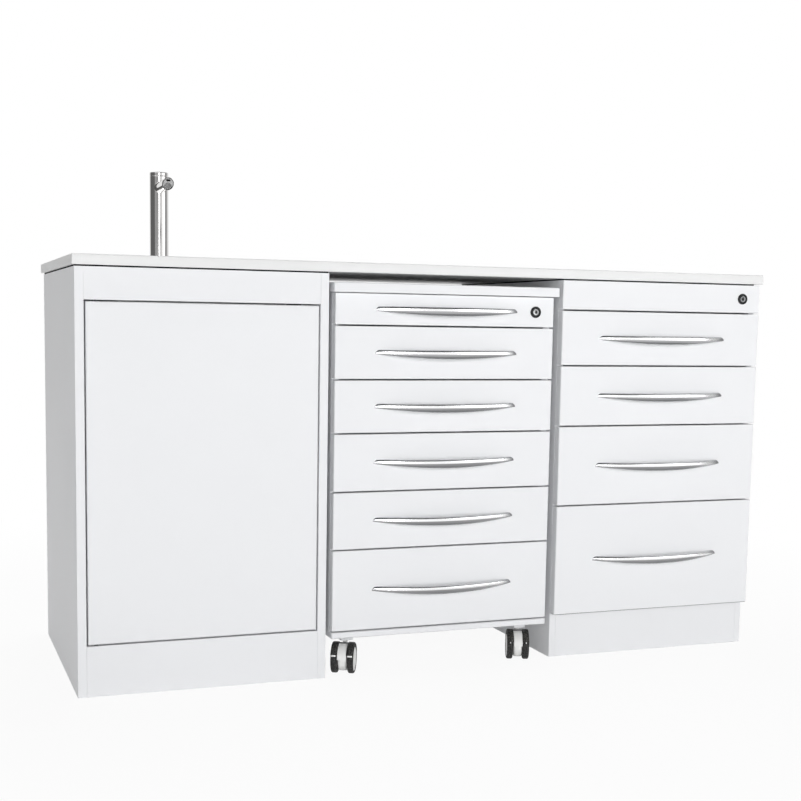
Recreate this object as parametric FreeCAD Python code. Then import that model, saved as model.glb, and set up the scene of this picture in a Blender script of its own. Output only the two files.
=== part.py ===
import FreeCAD
import Part
import math
import os

# Dental cabinet run in folded sheet steel: a sink cabinet with a door, a mobile drawer cabinet
# on casters in an open bay, and a fixed drawer cabinet, all under one thin worktop with a tap.
# Millimetres. While it is built, X runs along the front from the left side, Y goes into the
# depth from the front plane and Z goes up from the floor. The export puts the origin on the
# floor in the middle of the footprint.

# Driving sizes of the run
unit_width = 500.0
bay_width = 525.0
carcass_depth = 550.0
carcass_height = 827.0
worktop_thickness = 20.0
worktop_side_overhang = 5.0
worktop_front_overhang = 5.0
worktop_back_overhang = 15.0
worktop_edge_radius = 2.0
spacer_height = 3.0
spacer_inset = 5.0
spacer_width = 25.0

# Sheet metal. Each bend is drawn as a flat across the corner, wider outside than inside.
sheet = 1.2
bend_outside = 1.6
bend_inside = 0.6
top_flange = 25.0
plinth_height = 100.0
plinth_return = 20.0
reveal = 3.0
fascia_height = 62.0
side_edge = 17.5
side_return = 25.0
liner_edge = 15.0
liner_end_gap = 2.0

# Drawer fronts, trays and their slides
front_depth = 19.0
front_gap = 1.0
front_lip = 10.0
front_side_lip = 40.0
tray_lift = 12.0
tray_top_clearance = 11.0
tray_back_space = 61.0
tray_sheet = 1.2
tray_hem = 7.0
slide_width = 13.0
slide_height = 35.0
slide_sheet = 1.2
slide_running_gap = 0.5
slide_lip_reach = 7.0
slide_lift = 2.0

# Bow handles
handle_from_side = 86.0
handle_rise = 35.0
handle_thickness = 9.0
handle_above = 9.0
handle_below = 11.5
handle_tip_below = 1.0
handle_edge = 2.5
handle_belly_overrun = 0.3
handle_overrun_share = 0.05

# Sink cabinet: door, latch and plumbing
door_depth = 18.0
door_lip = 16.0
pivot_inset = 16.0
pivot_setback = 8.0
pivot_radius = 3.5
pivot_reach = 15.0
pivot_block = 22.0
pivot_clearance = 0.05
latch_width = 14.0
latch_length = 60.0
latch_from_edge = 40.0
latch_door_gap = 0.3
latch_travel = 3.0
latch_plunger_width = 6.0
latch_head_width = 10.0
latch_head_length = 3.0
latch_plunger_length = 25.0
latch_clearance = 0.1
fascia_flange = 60.0
fascia_flange_return = 12.0
bowl_from_side = 70.0
bowl_depth = 160.0
bowl_sheet = 1.0
bowl_corner_radius = 40.0
bowl_floor_slope = 15.0
bowl_flange = 20.0
bowl_from_front = 110.0
bowl_from_back = 120.0
drain_bore = 20.0
drain_flange_radius = 35.0
drain_flange_height = 2.0
drain_wall = 2.0
drain_clearance = 0.3
drain_bar_width = 3.0
drain_length = 85.0
trap_radius = 38.0
trap_height = 130.0
waste_radius = 20.0
waste_wall = 3.0
waste_drop = 36.0
waste_nut_radius = 27.5
waste_nut_length = 16.0
service_half_width = 45.0
service_above = 35.0
service_below = 45.0

# Tap
tap_from_back = 60.0
tap_radius = 21.0
tap_height = 210.0
spout_radius = 13.0
spout_length = 115.0
spout_below_top = 35.0
spout_end_slope = 30.0
aerator_radius = 8.0
aerator_height = 1.5
aerator_below_axis = 4.5
lens_width = 9.0
lens_length = 4.5
lens_height = 0.6
lens_above_axis = 8.5
shank_radius = 16.0
shank_length = 52.0
shank_clearance = 1.5
supply_radius = 5.0
supply_drop = 88.0
inlet_radius = 10.5
valve_radius = 13.0
valve_height = 36.0
inlet_nut_radius = 12.5
inlet_nut_length = 5.0

# Fixed drawer cabinet and its lock
cabinet_drawer_shares = [242.0, 174.0, 131.0, 119.0]
cabinet_first_line = 97.5
cabinet_lock_from_edge = 46.5
cabinet_cam_past_tray = 7.0
lock_ring_radius = 12.0
lock_ring_height = 3.0
lock_barrel_half = 8.5
lock_plug_radius = 7.0
lock_plug_proud = 0.4
lock_clearance = 0.05
lock_barrel_past = 2.0
lock_cam_width = 10.0
lock_cam_sheet = 3.0
lock_keyway_width = 2.0
lock_keyway_length = 8.0
lock_keyway_depth = 4.0
lock_catch_width = 30.0
lock_catch_reach = 11.0
lock_catch_height = 10.0
lock_catch_clearance = 3.0
lock_slot_clearance = 2.0

# Mobile drawer cabinet on casters
mobile_from_bay_side = 13.5
mobile_to_bay_side = 21.5
mobile_from_back = 20.0
mobile_top_height = 810.0
mobile_top_thickness = 19.5
mobile_top_side_overhang = 6.0
mobile_top_front_overhang = 12.0
mobile_top_lip = 18.0
mobile_top_edge = 1.6
mobile_top_back_overhang = 2.0
mobile_base_height = 80.0
mobile_base_thickness = 13.0
mobile_drawer_shares = [170.0, 120.0, 120.0, 110.0, 110.0, 66.0]
mobile_lock_from_edge = 43.5
mobile_cam_past_top = 4.5
caster_inset_x = 45.0
caster_inset_front = 27.0
caster_inset_back = 30.0
caster_trail = 20.0
wheel_radius = 30.0
wheel_width = 13.0
core_width = 20.0
core_radius = 27.0
hood_gap = 3.0
hood_thickness = 3.5
hood_bottom = 10.0
hood_side_clearance = 1.0
axle_radius = 3.0
axle_clearance = 0.05
swivel_radius = 5.0
swivel_clearance = 0.05
swivel_gap = 0.3
swivel_pin_length = 18.0
swivel_side_clearance = 1.0
socket_half_width = 13.0
# How far each caster has swivelled where the cabinet stands, in degrees
caster_turns = {"front_left": -27.0, "front_right": -21.0, "rear_left": 14.0, "rear_right": -9.0}

# One overrun for every cut that leaves a face
over = 1.0

# Places worked out from the sizes above
run_width = 2 * unit_width + bay_width
worktop_underside = carcass_height + spacer_height
worktop_top = worktop_underside + worktop_thickness
fascia_bottom = carcass_height - fascia_height
stile_face = front_depth + front_gap
cabinet_left = unit_width + bay_width
mobile_width = bay_width - mobile_from_bay_side - mobile_to_bay_side
mobile_depth = carcass_depth - mobile_from_back
mobile_left = unit_width + mobile_from_bay_side
mobile_right = mobile_left + mobile_width
handle_length = mobile_width - 2 * handle_from_side
mobile_floor = mobile_base_height + mobile_base_thickness
mobile_carcass_top = mobile_top_height - mobile_top_thickness
tray_length = mobile_depth - tray_back_space - front_depth
middle_half_height = slide_height / 2 - slide_sheet - slide_running_gap
inner_half_height = middle_half_height - slide_sheet - slide_running_gap
bowl_length = carcass_depth - bowl_from_front - bowl_from_back
bowl_width = unit_width - 2 * bowl_from_side
bowl_centre_x = unit_width / 2
bowl_centre_y = bowl_from_front + bowl_length / 2
bowl_floor = worktop_underside - bowl_depth
tap_y = carcass_depth - tap_from_back
spout_z = worktop_top + tap_height - spout_below_top
spout_end_y = tap_y - spout_length
pivot_x = side_edge + reveal + pivot_inset
door_bottom = plinth_height + reveal
door_top = fascia_bottom - reveal
hood_radius = wheel_radius + hood_gap + hood_thickness
waste_z = bowl_floor - drain_length - waste_drop
inlet_z = worktop_top - shank_length - supply_drop - valve_height - inlet_radius
service_z0 = waste_z - service_below
service_z1 = inlet_z + service_above

nodes = {}


def vec(x, y, z):
    return FreeCAD.Vector(x, y, z)


UP = vec(0, 0, 1)
DEEP = vec(0, 1, 0)
ALONG = vec(1, 0, 0)


def block(x0, x1, y0, y1, z0, z1):
    return Part.makeBox(x1 - x0, y1 - y0, z1 - z0, vec(x0, y0, z0))


def rod(radius, start, direction, length):
    return Part.makeCylinder(radius, length, start, direction)


def tube(outer, inner, start, direction, length):
    return rod(outer, start, direction, length).cut(rod(inner, start, direction, length))


def union(first, *others):
    return first.fuse(list(others)).removeSplitter() if others else first


def turned(corners, centre, direction=UP, radial=ALONG, start=0, angle=360):
    """A solid of revolution from (radius, height) corners."""
    points = [centre + radial * r + direction * h for r, h in corners]
    face = Part.Face(Part.makePolygon(points + points[:1]))
    face.rotate(centre, direction, start)
    return face.revolve(centre, direction, angle)


def right_hand_offset(path, distance):
    """The corners of a plane path moved to its right-hand side, mitred at each turn."""
    moved = []
    for i, (u, v) in enumerate(path):
        rights = []
        for a, b in ((i - 1, i), (i, i + 1)):
            if 0 <= a and b < len(path):
                du, dv = path[b][0] - path[a][0], path[b][1] - path[a][1]
                length = math.hypot(du, dv)
                rights.append((dv / length, -du / length))
        sum_u = sum(r[0] for r in rights)
        sum_v = sum(r[1] for r in rights)
        scale = len(rights) * distance / (sum_u * sum_u + sum_v * sum_v)
        moved.append((u + sum_u * scale, v + sum_v * scale))
    return moved


def across_corner(before, here, after, flat):
    """The two ends of a flat that cuts one corner."""
    ends = []
    for other in (before, after):
        du, dv = other[0] - here[0], other[1] - here[1]
        share = flat / math.hypot(du, dv)
        ends.append((here[0] + du * share, here[1] + dv * share))
    return ends


def with_bends(line, reference, sign):
    """A sheet's one side with its bends, outside or inside as the path turns."""
    bent = [line[0]]
    for i in range(1, len(line) - 1):
        before, here, after = reference[i - 1], reference[i], reference[i + 1]
        turn = ((here[0] - before[0]) * (after[1] - here[1])
                - (here[1] - before[1]) * (after[0] - here[0]))
        flat = bend_outside if turn * sign > 0 else bend_inside
        bent.extend(across_corner(line[i - 1], line[i], line[i + 1], flat))
    bent.append(line[-1])
    return bent


def folded(path, to_space, direction, length, gauge=sheet, bends=True):
    """One sheet folded along a plane path. The sheet lies on the path's right-hand side."""
    offset = right_hand_offset(path, gauge)
    if bends:
        outline = with_bends(path, path, 1) + with_bends(offset, path, -1)[::-1]
    else:
        outline = path + offset[::-1]
    points = [to_space(u, v) for u, v in outline]
    return Part.Face(Part.makePolygon(points + points[:1])).extrude(direction * length)


def in_plan(z):
    return lambda u, v: vec(u, v, z)


def in_side_view(x):
    return lambda u, v: vec(x, u, v)


def in_front_view(y):
    return lambda u, v: vec(u, y, v)


def edges_on(shape, test):
    return [edge for edge in shape.Edges if all(test(v.Point) for v in edge.Vertexes)]


def near(a, b):
    return abs(a - b) < 0.001 * sheet


def sheet_pan(x0, x1, y0, y1, z0, z1, side_lip, lip):
    """A folded front: outer face at y0, edges turned back to y1 and turned in again as lips."""
    body = block(x0, x1, y0, y1, z0, z1)
    body = body.makeChamfer(bend_outside, edges_on(body, lambda p: near(p.y, y0)))
    hollow = block(x0 + sheet, x1 - sheet, y0 + sheet, y1 - sheet, z0 + sheet, z1 - sheet)
    mouth = block(x0 + side_lip, x1 - side_lip, y0 + sheet, y1 + over, z0 + lip, z1 - lip)
    return body.cut([hollow, mouth])


def frame_plate(x0, x1, y0, y1, width, z0, z1, corner=0):
    """A flat frame as wide as a flange. Its outer corners can be cut like the bends."""
    plate = block(x0, x1, y0, y1, z0, z1)
    if corner:
        plate = plate.makeChamfer(corner, [e for e in plate.Edges if near(e.Length, z1 - z0)])
    return plate.cut(block(x0 + width, x1 - width, y0 + width, y1 - width, z0 - over, z1 + over))


def wrapper(left, width, y0, y1, edge, returned_to, z0, z1):
    """Sides and back folded from one sheet, with front edges turned in and back again."""
    right = left + width
    path = [(left + edge, returned_to), (left + edge, y0), (left, y0), (left, y1),
            (right, y1), (right, y0), (right - edge, y0), (right - edge, returned_to)]
    walls = folded(path, in_plan(z0), UP, z1 - z0)
    flange = frame_plate(left, right, y0, y1, top_flange, z1 - sheet, z1, bend_outside)
    return union(walls, flange)


def slide_member(side, wall_x, y0, y1, z, half_height, near_x, far_x, web_far):
    """One C-shaped slide rail. near_x and far_x count from the cabinet wall towards the tray."""
    if web_far:
        path = [(near_x, half_height), (far_x, half_height), (far_x, -half_height),
                (near_x, -half_height)]
    else:
        path = [(far_x, -half_height), (near_x, -half_height), (near_x, half_height),
                (far_x, half_height)]
    if side < 0:
        path = [(-u, v) for u, v in path][::-1]
    return folded([(wall_x + u, z + v) for u, v in path], in_front_view(y0), DEEP, y1 - y0,
                  slide_sheet, False)


def slide_set(inner_left, inner_right, z):
    """The fixed, middle and drawer rails of one drawer, each as a left and a right piece."""
    start = stile_face + front_gap
    end = front_depth + tray_length
    rails = {"outer": [], "middle": [], "inner": []}
    for side, wall_x in ((1, inner_left), (-1, inner_right)):
        rails["outer"].append(slide_member(side, wall_x, start, end, z, slide_height / 2,
                                           0, slide_lip_reach, False))
        web = slide_sheet + slide_running_gap
        rails["middle"].append(slide_member(side, wall_x, start, end, z, middle_half_height,
                                            web, slide_width - web, False))
        rails["inner"].append(slide_member(side, wall_x, start, end, z, inner_half_height,
                                           2 * web, slide_width, True))
    return rails


def tray(x0, x1, z0, z1):
    """An open drawer box with hemmed side walls."""
    y0, y1 = front_depth, front_depth + tray_length
    walls = block(x0, x1, y0, y1, z0, z1)
    walls = walls.cut(block(x0 + tray_sheet, x1 - tray_sheet, y0 + tray_sheet, y1 - tray_sheet,
                            z0 + tray_sheet, z1 + over))
    hems = []
    for inside, outside in ((x0 + tray_sheet, x0 + tray_hem), (x1 - tray_hem, x1 - tray_sheet)):
        hems.append(block(inside, outside, y0 + tray_sheet, y1 - tray_sheet, z1 - tray_sheet, z1))
    return union(walls, *hems)


def bow_handle(x, z):
    """A flat bow with a straight top and a deeper belly, its end faces on the front plane."""
    half = handle_length / 2
    outer = (half * half + handle_rise * handle_rise) / (2 * handle_rise)
    inner = outer - handle_thickness
    centre = vec(x, outer - handle_rise, z)
    top = handle_above
    bottom = -handle_below
    corners = [(inner, top), (inner, bottom), (outer - handle_edge, bottom),
               (outer, bottom + handle_edge), (outer, top - handle_edge),
               (outer - handle_edge, top)]
    reach = math.degrees(math.asin(half / outer)) * (1 + handle_overrun_share)
    bow = turned(corners, centre, UP, start=-90 - reach, angle=2 * reach)
    end_low = z - handle_tip_below
    belly = Part.Arc(vec(x - half, -handle_rise - over, end_low),
                     vec(x, -handle_rise - over, z - handle_below - handle_belly_overrun),
                     vec(x + half, -handle_rise - over, end_low)).toShape()
    rise = Part.makePolygon([vec(x + half, -handle_rise - over, end_low),
                             vec(x + half, -handle_rise - over, z + handle_above + over),
                             vec(x - half, -handle_rise - over, z + handle_above + over),
                             vec(x - half, -handle_rise - over, end_low)])
    outline = Part.Face(Part.Wire([belly] + rise.Edges))
    return bow.common(outline.extrude(DEEP * (handle_rise + over)))


def lock_barrel(x, z, back):
    """The flat-sided barrel that a front is cut out for, so that the lock can't turn."""
    return block(x - lock_barrel_half, x + lock_barrel_half, 0, back,
                 z - lock_barrel_half, z + lock_barrel_half)


def lock_parts(x, z, back, cam_length):
    """A cam lock: the ring with its barrel, and the plug with its keyway and cam."""
    end = back + lock_barrel_past
    ring = rod(lock_ring_radius, vec(x, -lock_ring_height, z), DEEP, lock_ring_height)
    bore = rod(lock_plug_radius + lock_clearance, vec(x, -lock_ring_height - over, z), DEEP,
               end + lock_ring_height + 2 * over)
    housing = union(ring, lock_barrel(x, z, end)).cut(bore)
    face = -lock_ring_height - lock_plug_proud
    cam_face = end + front_gap
    plug = rod(lock_plug_radius, vec(x, face, z), DEEP, cam_face + lock_cam_sheet - face)
    keyway = block(x - lock_keyway_width / 2, x + lock_keyway_width / 2, face - over,
                   face + lock_keyway_depth, z - lock_keyway_length / 2,
                   z + lock_keyway_length / 2)
    cam = block(x - cam_length, x, cam_face, cam_face + lock_cam_sheet,
                z - lock_cam_width / 2, z + lock_cam_width / 2)
    return housing, union(plug.cut(keyway), cam)


def lock_catch(x, tray_top, cam_tip):
    """The hook on a tray that the turned cam stands in front of."""
    floor = cam_tip - lock_catch_clearance
    wall = front_depth + tray_sheet
    path = [(wall, floor), (wall + lock_catch_reach, floor),
            (wall + lock_catch_reach, floor + lock_catch_height)]
    return folded(path, in_side_view(x - lock_catch_width / 2), ALONG, lock_catch_width)


def add(name, *solids):
    nodes[name] = list(solids)


def front_lines(first, last, shares):
    """Lower and upper limits of each front, from the bottom up, with half a reveal off each."""
    limits = []
    line = first
    for share in shares:
        pitch = (last - first) * share / sum(shares)
        limits.append((line + reveal / 2, line + pitch - reveal / 2))
        line += pitch
    return limits


def drawer(prefix, number, left, right, z0, z1, outer_rails, lock, catch):
    """One drawer: folded front, hemmed tray, drawer rails, handle and middle rails."""
    inner_left, inner_right = left + liner_edge, right - liner_edge
    tray_z0, tray_z1 = z0 + tray_lift, z1 - tray_top_clearance
    rail_z = tray_z0 + slide_lift + slide_height / 2
    rails = slide_set(inner_left, inner_right, rail_z)
    front = sheet_pan(left, right, 0, front_depth, z0, z1, front_side_lip, front_lip)
    box = tray(inner_left + slide_width, inner_right - slide_width, tray_z0, tray_z1)
    if lock:
        barrel = lock_barrel(*lock, front_depth + lock_barrel_past)
        front, box = front.cut(barrel), box.cut(barrel)
    if catch:
        box = union(box, lock_catch(catch[0], tray_z1, catch[1]))
    name = "%s_drawer_%d" % (prefix, number)
    add(name, front, box, *rails["inner"])
    add(name + "_handle", bow_handle((left + right) / 2, (z0 + z1) / 2))
    add(name + "_middle_rails", *rails["middle"])
    outer_rails.extend(rails["outer"])


def drawer_stack(prefix, left, right, limits, lock=None, catch=None):
    """All drawers of a cabinet, numbered from the top, and their fixed rails as one node."""
    outer_rails = []
    for i, (z0, z1) in enumerate(limits):
        number = len(limits) - i
        at_top = number == 1
        drawer(prefix, number, left, right, z0, z1, outer_rails, lock if at_top else None,
               catch if at_top else None)
    add(prefix + "_fixed_rails", *outer_rails)


def sink_cabinet():
    """Sides and back with the fascia welded in over the door, and the floor with its plinth."""
    walls = wrapper(0, unit_width, 0, carcass_depth, side_edge, side_return, 0, carcass_height)
    back = carcass_depth - sheet
    service = block(bowl_centre_x - service_half_width, bowl_centre_x + service_half_width,
                    back - over, carcass_depth + over, service_z0, service_z1)
    clear_width = unit_width - 2 * side_edge
    fascia_top = carcass_height - sheet
    fascia = folded([(fascia_flange, fascia_bottom + fascia_flange_return),
                     (fascia_flange, fascia_bottom), (0, fascia_bottom), (0, fascia_top)],
                    in_side_view(side_edge), ALONG, clear_width)
    add("sink_cabinet", walls.cut(service), fascia)
    plinth = folded([(plinth_return, 0), (0, 0), (0, plinth_height), (back, plinth_height)],
                    in_side_view(side_edge), ALONG, clear_width)
    wings = block(sheet, unit_width - sheet, side_return, back - bend_outside,
                  plinth_height - sheet, plinth_height)
    add("sink_cabinet_plinth", union(plinth, wings))


def square_bar(x, z, width, y0, y1):
    return block(x - width / 2, x + width / 2, y0, y1, z - width / 2, z + width / 2)


def sink_door():
    """The door pan with pivot blocks, the fixed pivot pins, and the push latch."""
    left = side_edge + reveal
    right = unit_width - side_edge - reveal
    pan = sheet_pan(left, right, 0, door_depth, door_bottom, door_top, door_lip, door_lip)
    bore_radius = pivot_radius + pivot_clearance
    pins = []
    blocks = []
    bores = []
    for z, up in ((door_bottom, 1), (door_top, -1)):
        low = min(z, z + up * pivot_block)
        blocks.append(block(left + sheet, pivot_x + pivot_inset, sheet, door_depth - sheet,
                            low + (sheet if up > 0 else 0),
                            low + pivot_block - (0 if up > 0 else sheet)))
        bores.append(rod(bore_radius, vec(pivot_x, pivot_setback, z - up * over), UP * up,
                         pivot_reach + 2 * over))
        seat = z - up * reveal
        pins.append(rod(pivot_radius, vec(pivot_x, pivot_setback, seat), UP * up,
                        reveal + pivot_reach))
    add("sink_door", union(pan, *blocks).cut(bores))
    add("door_pivot_pins", *pins)
    axis_x = unit_width - side_edge - latch_from_edge
    axis_z = fascia_bottom - latch_width / 2
    head = door_depth + latch_door_gap
    body_y = head + latch_head_length + latch_travel + latch_door_gap
    housing = block(axis_x - latch_width / 2, axis_x + latch_width / 2, body_y,
                    body_y + latch_length, fascia_bottom - latch_width, fascia_bottom)
    bore = square_bar(axis_x, axis_z, latch_plunger_width + 2 * latch_clearance, body_y - over,
                      head + latch_plunger_length + latch_travel + over)
    add("push_latch", housing.cut(bore))
    add("push_latch_plunger",
        union(square_bar(axis_x, axis_z, latch_head_width, head, head + latch_head_length),
              square_bar(axis_x, axis_z, latch_plunger_width, head,
                         head + latch_plunger_length)))


def bowl_form(x0, x1, y0, y1, z0, z1, corner, slope):
    """A well with rounded corners and a sloping edge round its floor."""
    body = block(x0, x1, y0, y1, z0, z1)
    body = body.makeFillet(corner, [e for e in body.Edges if near(e.Length, z1 - z0)])
    return body.makeChamfer(slope, edges_on(body, lambda p: near(p.z, z0))) if slope else body


def sink():
    """The pressed bowl, and the drain with its bars, the bottle trap and the waste outlet."""
    x0, x1 = bowl_centre_x - bowl_width / 2, bowl_centre_x + bowl_width / 2
    y0, y1 = bowl_from_front, bowl_from_front + bowl_length
    g = bowl_sheet
    outer = bowl_form(x0 - g, x1 + g, y0 - g, y1 + g, bowl_floor - g, worktop_underside,
                      bowl_corner_radius + g, 0)
    flange = block(x0 - bowl_flange, x1 + bowl_flange, y0 - bowl_flange, y1 + bowl_flange,
                   worktop_underside - g, worktop_underside)
    inner = bowl_form(x0, x1, y0, y1, bowl_floor, worktop_underside + over,
                      bowl_corner_radius, bowl_floor_slope)
    centre = vec(bowl_centre_x, bowl_centre_y, 0)
    tail = drain_bore + drain_wall
    hole = rod(tail + drain_clearance, centre + UP * (bowl_floor - g - over), UP, g + 2 * over)
    add("sink_bowl", union(outer, flange).cut(inner).cut(hole))

    rim = bowl_floor + drain_flange_height
    low = bowl_floor - drain_length
    drain = turned([(drain_bore, rim), (drain_bore, low), (tail, low), (tail, bowl_floor),
                    (drain_flange_radius, bowl_floor), (drain_flange_radius, rim)], centre)
    bars = []
    for along, across in ((drain_bore + drain_wall / 2, drain_bar_width / 2),
                          (drain_bar_width / 2, drain_bore + drain_wall / 2)):
        bars.append(block(bowl_centre_x - along, bowl_centre_x + along, bowl_centre_y - across,
                          bowl_centre_y + across, bowl_floor - drain_wall, bowl_floor))
    trap_top = low
    trap_low = trap_top - trap_height
    trap = rod(trap_radius, centre + UP * trap_low, UP, trap_height)
    outlet = carcass_depth + worktop_back_overhang
    pipe = rod(waste_radius, centre + UP * waste_z, DEEP, outlet - bowl_centre_y)
    nut = rod(waste_nut_radius, centre + UP * waste_z, DEEP, trap_radius + waste_nut_length)
    bore = rod(waste_radius - waste_wall, centre + DEEP * trap_radius + UP * waste_z, DEEP,
               outlet - bowl_centre_y)
    add("sink_waste", union(drain, *bars), union(trap, pipe, nut).cut(bore))


def tap():
    """The column with its spout, the aerator and the sensor lens, and the supply pipe."""
    foot = vec(bowl_centre_x, tap_y, worktop_top)
    column = rod(tap_radius, foot, UP, tap_height)
    shank = rod(shank_radius, foot, -UP, shank_length)
    spout = rod(spout_radius, vec(bowl_centre_x, tap_y, spout_z), -DEEP, spout_length)
    slope = math.radians(spout_end_slope)
    lean = 2 * spout_radius * math.tan(slope)
    end_top = vec(bowl_centre_x - spout_radius - over, spout_end_y, spout_z + spout_radius)
    end_low = end_top + vec(0, lean, -2 * spout_radius)
    past = vec(0, -over, -2 * spout_radius - over)
    wedge = Part.makePolygon([end_top, end_low, end_low + past, end_top + past, end_top])
    wedge = Part.Face(wedge).extrude(ALONG * (2 * spout_radius + 2 * over))
    body = union(column, spout.cut(wedge), shank)
    normal = vec(0, -math.cos(slope), -math.sin(slope))
    down = vec(0, math.sin(slope), -math.cos(slope))
    middle = vec(bowl_centre_x, spout_end_y + lean / 2, spout_z)
    aerator = rod(aerator_radius, middle + down * aerator_below_axis, normal, aerator_height)
    lens_corner = (middle - down * (lens_above_axis + lens_length / 2)
                   - ALONG * (lens_width / 2))
    lens_face = Part.makePolygon([lens_corner, lens_corner + ALONG * lens_width,
                                  lens_corner + ALONG * lens_width + down * lens_length,
                                  lens_corner + down * lens_length, lens_corner])
    lens = Part.Face(lens_face).extrude(normal * lens_height)
    add("tap", body, aerator, lens)

    top = foot - UP * shank_length
    valve_top = top - UP * supply_drop
    pipe = rod(supply_radius, top, -UP, supply_drop + valve_height / 2)
    valve = rod(valve_radius, valve_top, -UP, valve_height + inlet_radius)
    branch = vec(foot.x, foot.y, inlet_z + inlet_radius)
    inlet = rod(inlet_radius, branch, DEEP, tap_from_back + worktop_back_overhang)
    nut = rod(inlet_nut_radius, branch, DEEP, valve_radius + inlet_nut_length)
    add("supply_pipe", union(pipe, valve, inlet, nut))


def worktop():
    """The slab with its sink cut-out and tap hole, on two spacer frames."""
    slab = block(-worktop_side_overhang, run_width + worktop_side_overhang,
                 -worktop_front_overhang, carcass_depth + worktop_back_overhang,
                 worktop_underside, worktop_top)
    slab = slab.makeFillet(worktop_edge_radius, edges_on(slab, lambda p: near(p.z, worktop_top)))
    cut_out = block(bowl_centre_x - bowl_width / 2, bowl_centre_x + bowl_width / 2,
                    bowl_from_front, bowl_from_front + bowl_length,
                    worktop_underside - over, worktop_top + over)
    cut_out = cut_out.makeFillet(bowl_corner_radius, [e for e in cut_out.Edges if near(
        e.Length, worktop_thickness + 2 * over)])
    tap_hole = rod(shank_radius + shank_clearance, vec(bowl_centre_x, tap_y,
                                                       worktop_underside - over), UP,
                   worktop_thickness + 2 * over)
    frames = []
    for left, y0 in ((0, 0), (cabinet_left, stile_face)):
        frames.append(frame_plate(left + spacer_inset, left + unit_width - spacer_inset,
                                y0 + spacer_inset, carcass_depth - spacer_inset, spacer_width,
                                carcass_height, worktop_underside))
    add("worktop", slab.cut([cut_out, tap_hole]), *frames)


def drawer_cabinet():
    """The fixed drawer cabinet: carcass, recessed plinth, lock fascia, lock and drawers."""
    left, right = cabinet_left, cabinet_left + unit_width
    back = carcass_depth - sheet
    walls = wrapper(left, unit_width, stile_face, carcass_depth, liner_edge,
                    back - liner_end_gap, 0, carcass_height)
    floor_z = cabinet_first_line - reveal / 2
    plinth = folded([(stile_face + plinth_return, 0), (stile_face, 0), (stile_face, floor_z),
                     (back, floor_z)], in_side_view(left + liner_edge), ALONG,
                    unit_width - 2 * liner_edge)
    lock_x = right - cabinet_lock_from_edge
    lock_z = (fascia_bottom + carcass_height) / 2
    fascia = sheet_pan(left, right, 0, stile_face, fascia_bottom, carcass_height,
                       front_side_lip, front_lip)
    add("drawer_cabinet", walls, plinth)
    barrel = lock_barrel(lock_x, lock_z, stile_face)
    add("drawer_cabinet_fascia", fascia.cut(barrel))
    limits = front_lines(cabinet_first_line, fascia_bottom - reveal / 2, cabinet_drawer_shares)
    cam_tip = limits[-1][1] - tray_top_clearance - cabinet_cam_past_tray
    housing, plug = lock_parts(lock_x, lock_z, stile_face, lock_z - cam_tip)
    add("cabinet_lock", housing)
    add("cabinet_lock_plug", plug)
    drawer_stack("cabinet", left, right, limits, catch=(lock_x, cam_tip))


def mobile_cabinet():
    """The mobile drawer cabinet without its casters."""
    lock_x = mobile_right - mobile_lock_from_edge
    first_line = mobile_floor + reveal / 2
    limits = front_lines(first_line, mobile_carcass_top, mobile_drawer_shares)
    lock_z = sum(limits[-1]) / 2
    walls = wrapper(mobile_left, mobile_width, stile_face, mobile_depth, liner_edge,
                    mobile_depth - sheet - liner_end_gap, mobile_floor, mobile_carcass_top)
    cam_y = front_depth + lock_barrel_past + front_gap
    cam_length = mobile_carcass_top - lock_z + mobile_cam_past_top
    flange_above = mobile_carcass_top - sheet - lock_z
    cam_swing = math.sqrt(cam_length ** 2 + (lock_cam_width / 2) ** 2 - flange_above ** 2)
    slot = block(lock_x - cam_swing - lock_slot_clearance,
                 lock_x + lock_cam_width / 2 + lock_slot_clearance, stile_face + sheet,
                 cam_y + lock_cam_sheet + 2 * front_gap, mobile_carcass_top - sheet - over,
                 mobile_carcass_top + over)
    base = block(mobile_left, mobile_right, 0, mobile_depth, mobile_base_height, mobile_floor)
    base = base.makeChamfer(bend_outside, edges_on(base, lambda p: near(p.y, 0)))
    ceiling = mobile_floor - sheet
    base = base.cut(block(mobile_left + sheet, mobile_right - sheet, sheet, mobile_depth - sheet,
                          mobile_base_height - over, ceiling))
    sockets = []
    bores = []
    socket_low = wheel_radius + hood_radius + swivel_gap
    for x, y in caster_places().values():
        half = socket_half_width
        sockets.append(block(x - half, x + half, y - half, y + half, socket_low, ceiling))
        bores.append(rod(swivel_radius + swivel_clearance, vec(x, y, socket_low - over), UP,
                         swivel_pin_length + 2 * over))
    add("mobile_base", union(base, *sockets).cut(bores))
    add("mobile_cabinet", walls.cut(slot))
    overhang = mobile_top_side_overhang
    x0, x1 = mobile_left - overhang, mobile_right + overhang
    y0, y1 = -mobile_top_front_overhang, mobile_depth + mobile_top_back_overhang
    lid = block(x0, x1, y0, y1, mobile_carcass_top, mobile_top_height)
    lid = lid.makeChamfer(mobile_top_edge, edges_on(lid, lambda p: near(p.z, mobile_top_height)))
    hollow = block(x0 + sheet, x1 - sheet, y0 + sheet, y1 - sheet, mobile_carcass_top + sheet,
                   mobile_top_height - sheet)
    lip = mobile_top_lip
    mouth = block(x0 + lip, x1 - lip, y0 + lip, y1 - lip, mobile_carcass_top - over,
                  mobile_top_height - sheet)
    add("mobile_top", lid.cut([hollow, mouth]))
    housing, plug = lock_parts(lock_x, lock_z, front_depth, cam_length)
    add("mobile_lock", housing)
    add("mobile_lock_plug", plug)
    drawer_stack("mobile", mobile_left, mobile_right, limits, lock=(lock_x, lock_z))


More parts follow.
